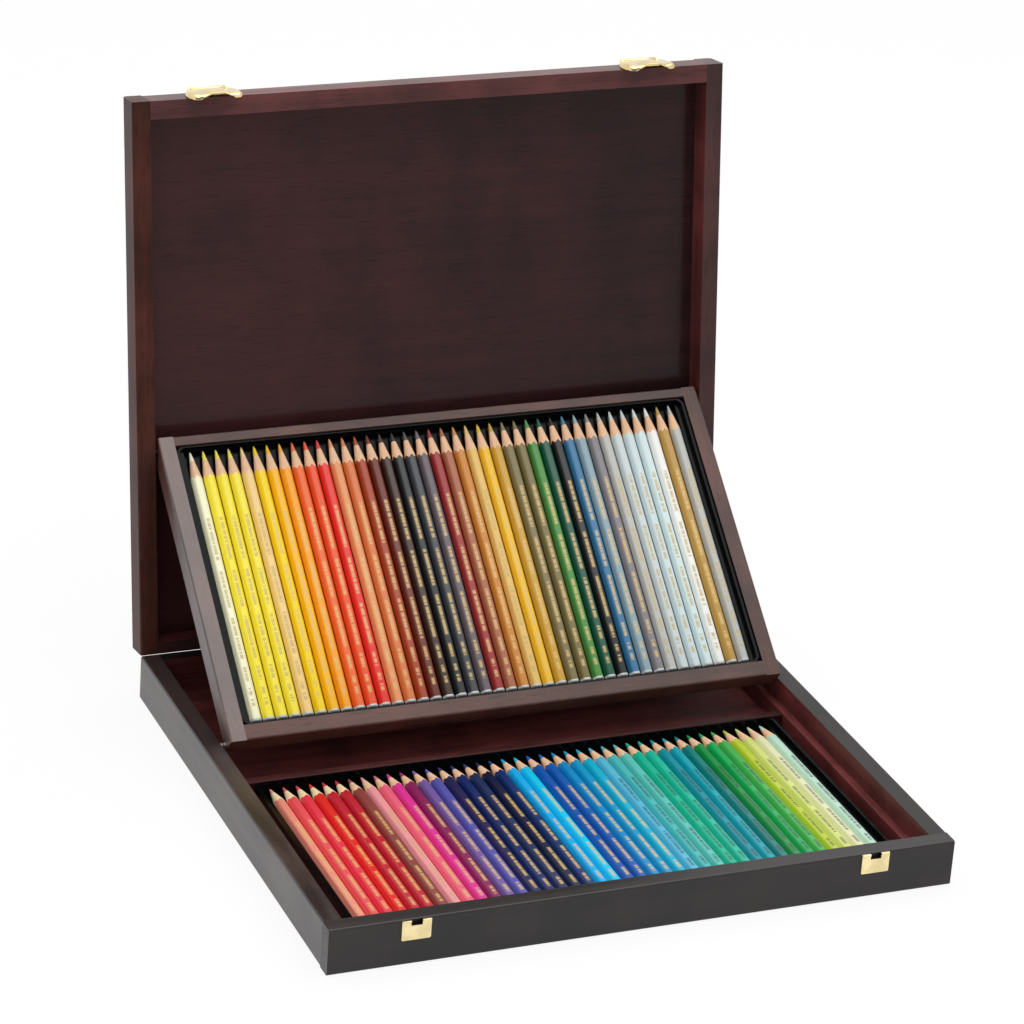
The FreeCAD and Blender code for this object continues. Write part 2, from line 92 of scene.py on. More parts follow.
class Graph:
    """Node tree of a new material or world, with short calls for what this script uses."""

    def __init__(self, owner, output="OutputMaterial"):
        owner.use_nodes = True
        self.owner = owner
        self.tree = owner.node_tree
        self.tree.nodes.clear()
        self.out = self.add(output)

    def add(self, kind, **settings):
        node = self.tree.nodes.new("ShaderNode" + kind)
        for key, value in settings.items():
            setattr(node, key, value)
        return node

    def link(self, source, target):
        self.tree.links.new(source, target)

    def feed(self, socket, value):
        """Link value if it is a socket, otherwise set it."""
        if isinstance(value, bpy.types.NodeSocket):
            self.link(value, socket)
        else:
            socket.default_value = value

    def math(self, operation, *values):
        node = self.add("Math", operation=operation)
        for socket, value in zip(node.inputs, values):
            self.feed(socket, value)
        return node.outputs[0]

    def line(self, value, gain, start):
        """start + gain * value."""
        return self.math("ADD", self.math("MULTIPLY", value, gain), start)

    def mix(self, factor, a, b):
        node = self.add("Mix", data_type="RGBA")
        self.feed(node.inputs[0], factor)
        self.feed(node.inputs[6], a)
        self.feed(node.inputs[7], b)
        return node.outputs[2]

    def darken(self, color, pattern, amount):
        """Darken a colour by up to amount, where the pattern is bright."""
        return self.mix(self.math("MULTIPLY", pattern, amount), color, BLACK)

    def band(self, value, low, high, to_low=0.0, to_high=1.0):
        """Smooth step from to_low, where value is low, to to_high, where it is high."""
        node = self.add("MapRange", interpolation_type="SMOOTHSTEP")
        for socket, number in zip(node.inputs, (value, low, high, to_low, to_high)):
            self.feed(socket, number)
        return node.outputs[0]

    def noise(self, vector, scale, detail=3.0, rough=0.5):
        node = self.add("TexNoise")
        self.link(vector, node.inputs["Vector"])
        node.inputs["Scale"].default_value = scale
        node.inputs["Detail"].default_value = detail
        node.inputs["Roughness"].default_value = rough
        return node.outputs["Fac"]

    def attribute(self, name, output="Color"):
        """Colour or alpha of one of the mesh's own colour layers."""
        return self.add("Attribute", attribute_name=name).outputs[output]

    def parts(self, vector):
        """The x, y and z of a vector."""
        node = self.add("SeparateXYZ")
        self.link(vector, node.inputs[0])
        return node.outputs

    def toward(self, source, direction):
        """Dot product of a Texture Coordinate output and a fixed direction."""
        node = self.add("VectorMath", operation="DOT_PRODUCT")
        self.link(self.add("TexCoord").outputs[source], node.inputs[0])
        node.inputs[1].default_value = direction
        return node.outputs["Value"]

    def placed(self, turn=0.0, scale=(1, 1, 1), shift=(0, 0, 0)):
        """Object coordinates turned about X, then shifted and scaled."""
        coords = self.add("TexCoord").outputs["Object"]
        turned = self.add("Mapping", vector_type="POINT")
        turned.inputs["Rotation"].default_value = (turn, 0, 0)
        turned.inputs["Location"].default_value = shift
        self.link(coords, turned.inputs["Vector"])
        scaled = self.add("Mapping", vector_type="POINT")
        scaled.inputs["Scale"].default_value = scale
        self.link(turned.outputs[0], scaled.inputs["Vector"])
        return scaled.outputs[0]

    def bump(self, height, distance, strength):
        node = self.add("Bump")
        node.inputs["Distance"].default_value = distance
        node.inputs["Strength"].default_value = strength
        self.link(height, node.inputs["Height"])
        return node.outputs[0]

    def shader(self, color, rough, specular=0.5, metallic=0.0, coat=0.0, coat_rough=0.1,
               normal=None):
        """Principled shader as the material's surface."""
        bsdf = self.add("BsdfPrincipled")
        self.feed(bsdf.inputs["Base Color"], color)
        self.feed(bsdf.inputs["Roughness"], rough)
        bsdf.inputs["Specular IOR Level"].default_value = specular
        bsdf.inputs["Metallic"].default_value = metallic
        bsdf.inputs["Coat Weight"].default_value = coat
        bsdf.inputs["Coat Roughness"].default_value = coat_rough
        if normal is not None:
            self.link(normal, bsdf.inputs["Normal"])
        self.link(bsdf.outputs[0], self.out.inputs["Surface"])

    def seen(self):
        """1 for what the camera sees, also in gloss and through glass, and 0 for light."""
        path = self.add("LightPath").outputs
        seen = self.math("MAXIMUM", path["Is Camera Ray"], path["Is Glossy Ray"])
        return self.math("MAXIMUM", seen, path["Is Transmission Ray"])

    def blend_surface(self, factor, first, second):
        """Surface of two shaders: second as far as factor says, and first for the rest."""
        blend = self.add("MixShader")
        self.link(factor, blend.inputs[0])
        self.link(first.outputs[0], blend.inputs[1])
        self.link(second.outputs[0], blend.inputs[2])
        self.link(blend.outputs[0], self.out.inputs["Surface"])


def material_graph(name):
    """Node tree of a new material."""
    return Graph(bpy.data.materials.new(name))


# ---- materials ---------------------------------------------------------------------
# One board's look. grain is the axis that the grain runs along, once turn, an angle about
# X, has laid the board flat. outside and inside are each a dark and a warm tone, and faces
# turned to facing show the inside. spread softens the figure, and the last field paints light
# in: the wood turns warmer and lighter towards its left end, by so much a metre.
Wood = namedtuple("Wood", "grain turn outside inside facing specular rough spread drift",
                  defaults=(0.14, 0.0))
BOARD_STEP = (0.37, 0.53, 0.29)    # metres in the pattern from one board to the next
PORE = srgb(0.07, 0.04, 0.04)


def mahogany(name, wood, board):
    """Dark stained wood: long streaks, short ribbon figure across them and open pores."""
    g = material_graph(name)
    offset = [board * step for step in BOARD_STEP]

    def pattern(with_grain, across, detail, rough):
        scale = [with_grain if axis == wood.grain else across for axis in "xyz"]
        return g.noise(g.placed(wood.turn, scale, offset), 1.0, detail, rough)

    streaks = pattern(5.0, 90.0, detail=4.0, rough=0.6)
    ribbon = pattern(22.0, 13.0, detail=3.0, rough=0.55)
    pores = pattern(70.0, 1100.0, detail=2.0, rough=0.6)
    tone = g.line(streaks, 0.45, g.math("MULTIPLY", ribbon, 0.55))
    # Painted light: the tone rises towards the board's left end.
    tone = g.line(g.parts(g.placed())[0], -wood.drift, tone)
    tone = g.band(tone, 0.5 - wood.spread, 0.5 + wood.spread)
    shell = g.mix(tone, srgb(*wood.outside[0]), srgb(*wood.outside[1]))
    lining = g.mix(tone, srgb(*wood.inside[0]), srgb(*wood.inside[1]))
    color = g.mix(g.band(g.toward("Normal", wood.facing), 0.4, 0.8), shell, lining)
    color = g.mix(g.band(pores, 0.56, 0.70, 0.0, 0.45), color, PORE)     # only its peaks
    roughness = g.band(streaks, 0.3, 0.7, wood.rough - 0.04, wood.rough + 0.06)
    height = g.line(streaks, 0.25, g.math("MULTIPLY", pores, -0.5))
    g.shader(color, roughness, wood.specular,
             normal=g.bump(height, distance=0.0001, strength=0.4))
    return g.owner


def moulded_plastic():
    """Thin black vacuum-formed sheet: glossy, slightly uneven."""
    g = material_graph("black_plastic")
    coords = g.placed()
    wave = g.noise(coords, 60.0, detail=2.0)
    grain = g.noise(coords, 1800.0, detail=2.0)
    color = g.mix(grain, srgb(0.015, 0.020, 0.022), srgb(0.04, 0.048, 0.052))
    height = g.line(grain, 0.06, wave)
    g.shader(color, g.band(wave, 0.3, 0.7, 0.14, 0.22), specular=0.11,
             normal=g.bump(height, distance=0.0004, strength=0.35))
    return g.owner


def brass(name, tone, rough=0.22, marked=0.4):
    """Gold plating with a faint cloudiness. marked is how deep its fine polishing marks look,
    from 0 to 1."""
    g = material_graph(name)
    cloud = g.noise(g.placed(), 140.0)
    marks = g.noise(g.placed(scale=(1.0, 0.12, 0.12)), 2600.0, detail=2.0)
    clouded = srgb(*[c * 0.9 for c in tone])
    color = g.mix(g.band(cloud, 0.3, 0.7), srgb(*tone), clouded)
    g.shader(color, g.line(marks, 0.12, rough - 0.06), metallic=1.0,
             normal=g.bump(marks, distance=0.00003, strength=marked))
    return g.owner


def steel():
    """Plain steel with fine marks along each pin."""
    g = material_graph("pin_steel")
    marks = g.noise(g.placed(scale=(0.1, 1.0, 1.0)), 2200.0, detail=2.0)
    color = g.mix(marks, srgb(0.86, 0.83, 0.82), srgb(0.97, 0.94, 0.93))
    g.shader(color, g.line(marks, 0.15, 0.2), metallic=1.0)
    return g.owner


# Foil dashes on a pencil, mm. They form no letters.
FOIL_RUNS = ((9.0, 13.5), (16.0, 20.5), (25.0, 34.0), (39.0, 66.0), (72.0, 96.0), (103.0, 131.0))
FOIL_FADE = 0.5                    # half the length over which a dash's end fades
FOIL_HALF = (0.55, 1.35)           # half width: whole up to the first, gone at the second
FOIL_BREAKS = 0.55                 # steps a mm in the pattern that breaks up a dash
FOIL_SPAN = 600.0                  # way through the pattern from a row's first pencil to its last
FOIL_COVER = 0.75                  # share of the paint that a dash hides


def lacquer():
    """Pencil paint. Colour is the mesh's own 'paint'; foil dashes are printed where the
    'print' map says: x is mm across the printed facet, y is mm from the tail. The alpha of
    'foil' tells the pencils apart."""
    g = material_graph("pencil_lacquer")
    printed = g.parts(g.add("UVMap", uv_map="print").outputs[0])
    across, along = printed[0], printed[1]
    inside = g.band(g.math("ABSOLUTE", across), *FOIL_HALF, 1.0, 0.0)
    place = g.add("CombineXYZ")
    g.link(g.math("MULTIPLY", along, FOIL_BREAKS), place.inputs[0])
    g.link(g.math("MULTIPLY", g.attribute("foil", "Alpha"), FOIL_SPAN), place.inputs[2])
    strokes = g.band(g.noise(place.outputs[0], 1.0, detail=1.0), 0.31, 0.54)
    run = 0.0
    for first, last in FOIL_RUNS:
        start = g.band(along, first - FOIL_FADE, first + FOIL_FADE)
        end = g.band(along, last - FOIL_FADE, last + FOIL_FADE, 1.0, 0.0)
        run = g.math("ADD", run, g.math("MULTIPLY", start, end))
    mark = g.math("MULTIPLY", g.math("MULTIPLY", inside, strokes),
                  g.math("MULTIPLY", run, FOIL_COVER))
    coords = g.placed()
    color = g.darken(g.attribute("paint"), g.noise(coords, 350.0, detail=2.0), 0.05)
    color = g.mix(mark, color, g.attribute("foil"))
    wave = g.noise(coords, 120.0, detail=2.0)
    g.shader(color, g.line(wave, 0.12, 0.28), specular=0.42, coat=0.12, coat_rough=0.30,
             normal=g.bump(wave, distance=0.0003, strength=0.3))
    return g.owner


def cedar():
    """Freshly cut pencil wood with the sharpener's fine rings, in the tone of 'paint'."""
    g = material_graph("pencil_wood")
    fibre = g.noise(g.placed(scale=(1.0, 0.06, 0.06)), 2400.0)
    rings = g.noise(g.placed(), 900.0, detail=2.0)
    color = g.mix(g.band(fibre, 0.3, 0.7, 0.16, 0.0), g.attribute("paint"),
                  srgb(0.62, 0.40, 0.26))
    g.shader(color, 0.55, specular=0.3,
             normal=g.bump(g.math("ADD", fibre, rings), distance=0.00008, strength=0.5))
    return g.owner


def core():
    """Coloured lead: waxy, in the tone of 'paint'."""
    g = material_graph("pencil_core")
    grain = g.noise(g.placed(), 1500.0)
    g.shader(g.darken(g.attribute("paint"), grain, 0.18), 0.5, specular=0.35,
             normal=g.bump(grain, distance=0.0001, strength=0.5))
    return g.owner


def tail_end():
    """Tail of a pencil: its rounded end, in the pale tone that 'paint' gives it."""
    g = material_graph("pencil_tail")
    grain = g.noise(g.placed(), 800.0, detail=2.0)
    g.shader(g.darken(g.attribute("paint"), grain, 0.15), 0.3)
    return g.owner


# ---- CAD nodes -----------------------------------------------------------------------
def dress(names, material):
    """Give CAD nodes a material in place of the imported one."""
    for name in names:
        node = nodes[name]
        node.data.materials.clear()
        node.data.materials.append(material)


def pairs(*kinds):
    """Names of the left and right nodes of each kind."""
    return ["%s_%s" % (kind, side) for kind in kinds for side in SIDES]


# Stains, each a dark and a warm tone. Two of them also hold painted light, as noted at each.
EBONY = ((0.085, 0.078, 0.075), (0.15, 0.125, 0.12))
# Left wall's outside: painted lighter than the other walls, standing in for the light that side
# catches.
UMBER_PAINTED_LIGHT = ((0.15, 0.12, 0.115), (0.26, 0.21, 0.20))
# Reddish inside wood, painted lighter than the wood is, to make up for the shade inside the case.
LINING_WITH_PAINTED_LIGHT = ((0.32, 0.16, 0.16), (0.50, 0.25, 0.245))
ROSE = ((0.20, 0.125, 0.125), (0.31, 0.18, 0.175))
RUSSET = ((0.28, 0.155, 0.155), (0.41, 0.225, 0.22))
OXBLOOD = ((0.20, 0.10, 0.10), (0.30, 0.15, 0.145))
SIENNA = ((0.225, 0.135, 0.115), (0.33, 0.185, 0.155))
PANEL = ((0.155, 0.095, 0.10), (0.27, 0.142, 0.146))
TAUPE = ((0.25, 0.165, 0.145), (0.39, 0.255, 0.22))
OUT = Vector((0.0, math.cos(LID_OPEN), -math.sin(LID_OPEN)))    # shut lid's +Y, once open
WOODEN = {
    "base_front_wall": Wood("x", 0.0, EBONY, LINING_WITH_PAINTED_LIGHT, (0, 1, 0), 0.45, 0.34),
    "base_side_wall_left": Wood("y", 0.0, UMBER_PAINTED_LIGHT, LINING_WITH_PAINTED_LIGHT, (1, 0, 0), 0.58, 0.30),
    "base_side_wall_right": Wood("y", 0.0, EBONY, LINING_WITH_PAINTED_LIGHT, (-1, 0, 0), 0.28, 0.34),
    "base_rear_wall": Wood("x", 0.0, EBONY, LINING_WITH_PAINTED_LIGHT, (0, -1, 0), 0.50, 0.30),
    "base_floor": Wood("x", 0.0, LINING_WITH_PAINTED_LIGHT, LINING_WITH_PAINTED_LIGHT, (0, 0, 1), 0.08, 0.50),
    "base_ledge_left": Wood("y", 0.0, LINING_WITH_PAINTED_LIGHT, LINING_WITH_PAINTED_LIGHT, (0, 0, 1), 0.14, 0.40),
    "base_ledge_right": Wood("y", 0.0, LINING_WITH_PAINTED_LIGHT, LINING_WITH_PAINTED_LIGHT, (0, 0, 1), 0.14, 0.40),
    "base_divider": Wood("x", 0.0, OXBLOOD, OXBLOOD, (0, 0, 1), 0.12, 0.45),
    "lid_side_rail_left": Wood("y", LID_OPEN, SIENNA, LINING_WITH_PAINTED_LIGHT, (1, 0, 0), 0.06, 0.34),
    "lid_side_rail_right": Wood("y", LID_OPEN, ROSE, LINING_WITH_PAINTED_LIGHT, (-1, 0, 0), 0.25, 0.34),
    "lid_front_rail": Wood("x", LID_OPEN, RUSSET, LINING_WITH_PAINTED_LIGHT, OUT, 0.22, 0.34),
    "lid_rear_rail": Wood("x", LID_OPEN, ROSE, LINING_WITH_PAINTED_LIGHT, -OUT, 0.25, 0.34),
    # The panel's last number paints light on it: lighter towards its left end, where more light
    # falls.
    "lid_panel": Wood("x", LID_OPEN, PANEL, PANEL, (0, -1, 0), 0.15, 0.16, 0.30, 0.9),
    "tray_side_rail_left": Wood("y", -TRAY_TILT, TAUPE, EBONY, (1, 0, 0), 1.0, 0.36),
    "tray_side_rail_right": Wood("y", -TRAY_TILT, TAUPE, EBONY, (-1, 0, 0), 0.32, 0.30),
    "tray_front_rail": Wood("x", -TRAY_TILT, TAUPE, TAUPE, (0, -1, 0), 0.34, 0.30),
    "tray_rear_rail": Wood("x", -TRAY_TILT, TAUPE, TAUPE, (0, 1, 0), 0.34, 0.30),
    "tray_bottom": Wood("x", -TRAY_TILT, ROSE, ROSE, (0, 0, 1), 0.25, 0.40),
}
TIGHT_SEAM = ("base_rear_wall", "lid_rear_rail")    # square edges, which meet at the hinges
WOOD_EDGE, TIGHT_EDGE, PLATE_EDGE, INSERT_EDGE = 0.5, 0.12, 0.12, 0.4    # bevels, mm
for board, (node_name, wood) in enumerate(WOODEN.items(), start=1):
    dress([node_name], mahogany("wood_" + node_name, wood, board))
    bevel(nodes[node_name], "soft_edges", TIGHT_EDGE if node_name in TIGHT_SEAM else WOOD_EDGE)

INSERTS = ("lower_insert", "upper_insert")
dress(INSERTS, moulded_plastic())
for node_name in INSERTS:
    bevel(nodes[node_name], "soft_edges", INSERT_EDGE, segments=3)
pale_brass = brass("pale_brass", (1.0, 0.92, 0.70))
lever_brass = brass("lever_brass", (0.93, 0.83, 0.60), rough=0.13, marked=0.1)
dress(pairs("keeper", "catch_plate", "catch_lever", "catch_axle", "hinge_base_leaf",
            "hinge_lid_leaf"), pale_brass)
dress(pairs("hinge_pin", "stop_pin"), steel())
# Pivot pins: brass, much darker than the rest.
dress(pairs("tray_pivot_pin"), brass("dark_brass", (0.30, 0.25, 0.20), rough=0.35))
for node_name in pairs("keeper", "catch_plate"):
    bevel(nodes[node_name], "soft_edges", PLATE_EDGE)

# ---- catch levers --------------------------------------------------------------------
# They are built in the shut case and then opened with the lid. All in mm: x is from the
# lever's middle, up from the rim and out from the base's front face.
LEVER_TOP, LEVER_FOOT = 13.2, -7.9     # ends of the pressed sheet
LEVER_HALF = 16.2                      # half width across the lobes
CORNER_UP, CORNER_IN = 6.9, 4.6        # rounding of the lobes' outer corners
SHOULDER_UP, SHOULDER_IN = 2.0, 5.7    # rounding up to the roll, from this height
SHEET_T = 0.8                          # sheet's thickness
SHEET_ROWS, SHEET_COLUMNS = 22, 44     # faces up and across
EDGE_ROLL = 3.0                        # width of the sheet's rounded edge
EDGE_OUT = 0.9                         # how far out that edge is
KEEPER_RISE = 1.3                      # how much further out it is in front of the keeper
KEEPER_X = (10.6, 8.8)                 # where that rise starts and is whole
ARCH_X = (9.4, 2.4)                    # where the thumb arch starts and is whole
PLUMP = ((LEVER_FOOT, 3.2), (1.0, 3.4), (LEVER_TOP, 2.8))    # up and out of the lobes
CROWN = ((LEVER_FOOT, 4.3), (3.0, 4.7), (LEVER_TOP, 2.8))    # up and out of the thumb arch
LEAST_OUT = 0.3                        # gap behind the sheet
AXLE_UP, AXLE_OUT, BORE_R = 14.0, 2.4, 0.82     # axle, and the bore about it
ROLL_R, ROLL_HALF = 1.4, 10.5          # roll's radius and half length
ROLL_LIP_R, ROLL_LIP = 1.15, 0.3       # radius and length of its softened ends
ROLL_FACES = 32
RIDGE_HALF = 6.0                       # half length of the snap ridge
RIDGE_OUT = (1.75, 3.6)                # from and to
RIDGE_Z = (25.25, 26.25)               # from and to, up from the table
RIDGE_SOFT = 0.25                      # width of its softened edges
RIM_EDGE = 0.28                        # bevel of the lever's edges


def through_points(value, points):
    """Parabola through three points, at value."""
    total = 0.0
    for i, (xi, yi) in enumerate(points):
        for j, (xj, _) in enumerate(points):
            if i != j:
                yi *= (value - xj) / (xi - xj)
        total += yi
    return total


def smooth(value, low, high):
    """Smooth step from 0 at low to 1 at high, which may be the smaller of the two."""
    t = min(max((value - low) / (high - low), 0.0), 1.0)
    return t * t * (3 - 2 * t)


def lever_half(up):
    """Half width of the lever at one height: narrow at its roll, round at its foot."""
    half = LEVER_HALF
    for start, sign, length, depth in ((SHOULDER_UP, 1, LEVER_TOP - SHOULDER_UP, SHOULDER_IN),
                                       (LEVER_FOOT + CORNER_UP, -1, CORNER_UP, CORNER_IN)):
        past = max(sign * (up - start), 0.0) / length
        half -= depth * (1 - math.sqrt(max(1 - past * past, 0.0)))
    return half


def rolled(distance):
    """Quarter round of the sheet's edge, 0 at the edge and 1 inside it."""
    t = min(max(distance / EDGE_ROLL, 0.0), 1.0)
    return math.sqrt(1 - (1 - t) * (1 - t))


def lever_outer(x, up):
    """How far the outer face stands out: plump lobes, and a thumb arch between them."""
    roll = rolled(lever_half(up) - abs(x)) * rolled(up - LEVER_FOOT)
    edge = EDGE_OUT + KEEPER_RISE * smooth(abs(x), *KEEPER_X)
    lobe = edge + (through_points(up, PLUMP) - edge) * roll
    return lobe + (through_points(up, CROWN) - lobe) * smooth(abs(x), *ARCH_X)


def lever_inner(x, up):
    """How far the inner face stands out."""
    return max(lever_outer(x, up) - SHEET_T, LEAST_OUT)


def add_sheet(mesh, x0):
    """Add the pressed sheet: an outer and an inner skin, joined round their edge."""
    skins = []
    for reach in (lever_outer, lever_inner):
        rows = []
        for j in range(SHEET_ROWS + 1):
            up = LEVER_TOP + (LEVER_FOOT - LEVER_TOP) * j / SHEET_ROWS
            half = lever_half(up)
            places = [half * (2 * i / SHEET_COLUMNS - 1) for i in range(SHEET_COLUMNS + 1)]
            rows.append([mesh.verts.new((x0 + x, FACE_Y - reach(x, up), RIM_Z + up))
                         for x in places])
        skins.append(rows)
    outer, inner = skins
    for j in range(SHEET_ROWS):
        for i in range(SHEET_COLUMNS):
            for rows, flip in ((outer, False), (inner, True)):
                corners = [rows[j][i], rows[j][i + 1], rows[j + 1][i + 1], rows[j + 1][i]]
                mesh.faces.new(corners if flip else corners[::-1])
    edge = [(0, i) for i in range(SHEET_COLUMNS)]
    edge += [(j, SHEET_COLUMNS) for j in range(SHEET_ROWS)]
    edge += [(SHEET_ROWS, i) for i in range(SHEET_COLUMNS, 0, -1)]
    edge += [(j, 0) for j in range(SHEET_ROWS, 0, -1)]
    for (a, b), (c, d) in zip(edge, edge[1:] + edge[:1]):
        mesh.faces.new((outer[a][b], outer[c][d], inner[c][d], inner[a][b]))


def add_roll(mesh, x0):
    """Add the roll about the axle: a tube with softened ends."""
    profile = [(-ROLL_HALF, BORE_R), (-ROLL_HALF, ROLL_LIP_R), (-ROLL_HALF + ROLL_LIP, ROLL_R),
               (ROLL_HALF - ROLL_LIP, ROLL_R), (ROLL_HALF, ROLL_LIP_R), (ROLL_HALF, BORE_R)]
    angles = [2 * math.pi * k / ROLL_FACES for k in range(ROLL_FACES)]
    rings = []
    for x, r in profile:
        rings.append([mesh.verts.new((x0 + x, FACE_Y - AXLE_OUT + r * math.cos(t),
                                      RIM_Z + AXLE_UP + r * math.sin(t))) for t in angles])
    for a, b in zip(rings, rings[1:] + rings[:1]):
        for k in range(ROLL_FACES):
            n = (k + 1) % ROLL_FACES
            mesh.faces.new((a[k], a[n], b[n], b[k]))


def add_ridge(mesh, x0):
    """Add the snap ridge behind the sheet: a bar, softened on the side to the keeper."""
    near, far = FACE_Y - RIDGE_OUT[0], FACE_Y - RIDGE_OUT[1]
    low, high = RIDGE_Z
    section = [(far, low), (near - RIDGE_SOFT, low), (near, low + RIDGE_SOFT),
               (near, high - RIDGE_SOFT), (near - RIDGE_SOFT, high), (far, high)]
    ends = [[mesh.verts.new((x0 + x, y, z)) for y, z in section]
            for x in (-RIDGE_HALF, RIDGE_HALF)]
    for k in range(len(section)):
        n = (k + 1) % len(section)
        mesh.faces.new((ends[0][k], ends[0][n], ends[1][n], ends[1][k]))
    mesh.faces.new(ends[0])
    mesh.faces.new(ends[1][::-1])


def lever_piece(side, x0):
    """Pressed lever as one smooth mesh: sheet, roll about its axle and snap ridge."""
    mesh = bmesh.new()
    add_sheet(mesh, x0)
    add_roll(mesh, x0)
    add_ridge(mesh, x0)
    bmesh.ops.recalc_face_normals(mesh, faces=mesh.faces)
    opened = (Matrix.Translation((0, HINGE[0], HINGE[1])) @ Matrix.Rotation(-LID_OPEN, 4, "X")
              @ Matrix.Translation((0, -HINGE[0], -HINGE[1])))
    bmesh.ops.transform(mesh, matrix=Matrix.Scale(MM, 4) @ opened, verts=mesh.verts)
    data = bpy.data.meshes.new("lever_" + side)
    mesh.to_mesh(data)
    mesh.free()
    for polygon in data.polygons:
        polygon.use_smooth = True
    data.set_sharp_from_angle(angle=math.radians(50))
    data.materials.append(lever_brass)
    piece = add_object("pressed_lever_" + side, data)
    bevel(piece, "rounded_rim", RIM_EDGE, segments=3, angle=50)
    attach(piece, "lever_" + side)
    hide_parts("catch_lever_" + side)


for side, x0 in zip(SIDES, (-CATCH_X, CATCH_X)):
    lever_piece(side, x0)

# ---- pencils -------------------------------------------------------------------------
# Paints from left to right, one for each pencil.
UPPER_PAINTS = [
    (1.00, 0.99, 0.84), (1.00, 0.93, 0.22), (1.00, 0.93, 0.24), (1.00, 0.93, 0.26),
    (0.98, 0.84, 0.54), (1.00, 0.86, 0.02), (1.00, 0.75, 0.04), (1.00, 0.66, 0.10),
    (0.96, 0.42, 0.16), (0.95, 0.33, 0.14), (0.93, 0.19, 0.15), (0.93, 0.60, 0.38),
    (0.88, 0.48, 0.26), (0.66, 0.25, 0.11), (0.42, 0.14, 0.07), (0.23, 0.13, 0.09),
    (0.10, 0.11, 0.12), (0.24, 0.25, 0.27), (0.40, 0.36, 0.38), (0.62, 0.16, 0.16),
    (0.68, 0.40, 0.27), (0.82, 0.53, 0.20), (0.92, 0.76, 0.42), (0.96, 0.76, 0.15),
    (0.82, 0.64, 0.22), (0.50, 0.45, 0.28), (0.48, 0.43, 0.25), (0.28, 0.55, 0.24),
    (0.05, 0.32, 0.24), (0.06, 0.06, 0.07), (0.20, 0.46, 0.62), (0.56, 0.66, 0.70),
    (0.52, 0.50, 0.52), (0.76, 0.76, 0.74), (0.82, 0.86, 0.86), (0.83, 0.89, 0.90),
    (0.85, 0.92, 0.92), (0.97, 0.97, 0.95), (0.74, 0.58, 0.26), (0.74, 0.75, 0.73)]
LOWER_PAINTS = [
    (0.96, 0.58, 0.50), (0.94, 0.33, 0.36), (0.93, 0.22, 0.30), (0.91, 0.15, 0.12),
    (0.78, 0.12, 0.20), (0.78, 0.12, 0.20), (0.56, 0.26, 0.24), (0.96, 0.62, 0.64),
    (0.94, 0.40, 0.50), (0.89, 0.20, 0.60), (0.54, 0.12, 0.36), (0.46, 0.36, 0.64),
    (0.34, 0.34, 0.68), (0.12, 0.12, 0.32), (0.02, 0.15, 0.40), (0.10, 0.18, 0.36),
    (0.01, 0.08, 0.24), (0.02, 0.18, 0.42), (0.00, 0.69, 0.94), (0.00, 0.79, 0.95),
    (0.01, 0.33, 0.68), (0.03, 0.36, 0.70), (0.00, 0.55, 0.80), (0.00, 0.60, 0.79),
    (0.00, 0.71, 0.83), (0.34, 0.74, 0.86), (0.28, 0.74, 0.74), (0.36, 0.78, 0.74),
    (0.00, 0.72, 0.58), (0.08, 0.74, 0.62), (0.00, 0.56, 0.62), (0.00, 0.64, 0.70),
    (0.00, 0.49, 0.48), (0.00, 0.55, 0.25), (0.00, 0.66, 0.33), (0.26, 0.70, 0.32),
    (0.74, 0.82, 0.20), (0.85, 0.89, 0.50), (0.92, 0.92, 0.74), (0.76, 0.90, 0.82)]

GOLD = (0.88, 0.74, 0.46)          # foil
OCHRE = (0.78, 0.68, 0.42)         # foil on a paint whose mean is above PALE
PALE = 0.70
PEACH = (0.97, 0.80, 0.65)         # sharpened wood
STRAW = (0.99, 0.90, 0.73)         # paler wood
STRAW_TIPS = 6                     # how many of the lower row's first pencils have it
PAINTED_REFLECTION_FROM = 25                     # first pencil of the lower row whose foil gets a painted reflection of the dark lid
TAIL_WHITE = (0.86, 0.88, 0.87)
PAINTED_REFLECTION = (0.35, 0.04)                # foil with a painted reflection of the dark lid: share of the paint, and what is added to it
CHALKY = (0.85, 0.15)              # lead: the same

LEAD_L = 6.6                       # coloured point, mm from the tip
TIP_R = 0.4
CORNER_R = FLATS / math.sqrt(3)
SOFT_CORNER = 0.935                # share of CORNER_R that a softened corner reaches
ROUND = 48                         # points round a pencil
TAIL_RINGS = ((0.72, 0.0), (0.92, 0.45), (1.0, 1.5))     # share of the radius, mm from the tail
TIP_RINGS = ((TIP_R + 0.25, 1.3), (TIP_R * 0.75, 0.25), (TIP_R * 0.3, 0.0))    # radius, mm back
PAINT, WOOD, LEAD, TAIL = range(4)                       # a pencil's materials
RING_LOOKS = (TAIL, TAIL, PAINT, PAINT, WOOD, WOOD, LEAD, LEAD, LEAD)    # between two rings
TOP_NORMAL = 0.97                  # least z of a face's normal on the printed facet
OFF_PRINT = 9.0                    # mm across, where nothing is printed


def column(number):
    """x of a pencil's axis, mm, from its number in the row."""
    return (number - (PENCILS - 1) / 2) * PITCH


def hex_radius(angle):
    """Distance from the axis to a hexagon with softened corners, lying on a flat."""
    turn = (angle % math.radians(60)) - math.radians(30)
    sharp = FLATS / 2 / math.cos(turn)
    return min(sharp, SOFT_CORNER * CORNER_R)


